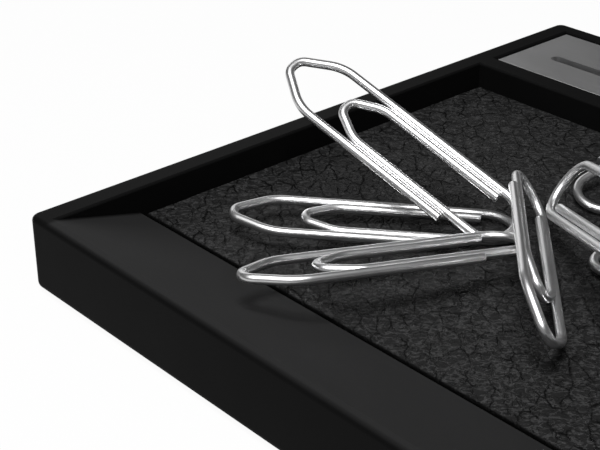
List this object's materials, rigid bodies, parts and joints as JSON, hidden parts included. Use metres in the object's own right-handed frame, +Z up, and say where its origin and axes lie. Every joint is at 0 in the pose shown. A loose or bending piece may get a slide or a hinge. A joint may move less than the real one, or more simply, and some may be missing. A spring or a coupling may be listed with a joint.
{
  "type": "magnetic paper clip holder",
  "caption": "Low black desk tray with a ramped, leather-lined well over a hidden magnet that holds loose wire paper clips, and a slotted metal plate behind it.",
  "frame": {"origin": "on the desk, under the middle of the tray", "axes": "+Z up, -Y towards the front lip, +X to the right seen from the front"},
  "size_m": [0.077, 0.0886, 0.0223],
  "materials": {
    "tray_plastic": "soft matte black moulding",
    "leatherette": "black pebbled leatherette",
    "board": "grey board",
    "satin_plate": "satin",
    "magnet_nickel": "nickel plated",
    "plain_steel": "plain",
    "foam": "foam rubber",
    "ballast_steel": "zinc",
    "cover_plastic": "black",
    "screw_steel": "zinc",
    "foot_rubber": "matte",
    "clip_wire": "bright plated steel wire"
  },
  "bodies": {
    "tray": {"tray_body": "tray_plastic", "leather_inlay": "leatherette", "inlay_board": "board", "slot_plate": "satin_plate", "magnet": "magnet_nickel", "magnet_keeper": "plain_steel", "magnet_pad": "foam", "ballast_plate": "ballast_steel", "base_cover": "cover_plastic", "cover_screws": "screw_steel", "foot_front_left": "foot_rubber", "foot_front_right": "foot_rubber", "foot_rear_left": "foot_rubber", "foot_rear_right": "foot_rubber"},
    "clip_1": {"paper_clip_1": "clip_wire"},
    "clip_2": {"paper_clip_2": "clip_wire"},
    "clip_3": {"paper_clip_3": "clip_wire"},
    "clip_4": {"paper_clip_4": "clip_wire"},
    "clip_5": {"paper_clip_5": "clip_wire"},
    "clip_6": {"paper_clip_6": "clip_wire"},
    "clip_7": {"paper_clip_7": "clip_wire"},
    "clip_8": {"paper_clip_8": "clip_wire"}
  },
  "joints": [
    {"name": "clip_1_pull", "type": "slide", "parent": "tray", "child": "clip_1", "axis": [-0.8813, -0.2116, 0.4226], "range_m": [0, 0.04]},
    {"name": "clip_2_pull", "type": "slide", "parent": "tray", "child": "clip_2", "axis": [-0.6777, -0.7319, 0.0715], "range_m": [0, 0.04]},
    {"name": "clip_3_pull", "type": "slide", "parent": "tray", "child": "clip_3", "axis": [-0.3525, -0.9328, 0.075], "range_m": [0, 0.04]},
    {"name": "clip_4_pull", "type": "slide", "parent": "tray", "child": "clip_4", "axis": [-0.3748, -0.3598, 0.8545], "range_m": [0, 0.04]},
    {"name": "clip_5_pull", "type": "slide", "parent": "tray", "child": "clip_5", "axis": [0.9829, -0.1381, 0.1219], "range_m": [0, 0.04]},
    {"name": "clip_6_pull", "type": "slide", "parent": "tray", "child": "clip_6", "axis": [0.7757, -0.5636, 0.284], "range_m": [0, 0.04]},
    {"name": "clip_7_pull", "type": "slide", "parent": "tray", "child": "clip_7", "axis": [0.7821, 0.6111, 0.1219], "range_m": [0, 0.04]},
    {"name": "clip_8_pull", "type": "slide", "parent": "tray", "child": "clip_8", "axis": [0.1029, 0.9794, 0.1736], "range_m": [0, 0.04]}
  ]
}
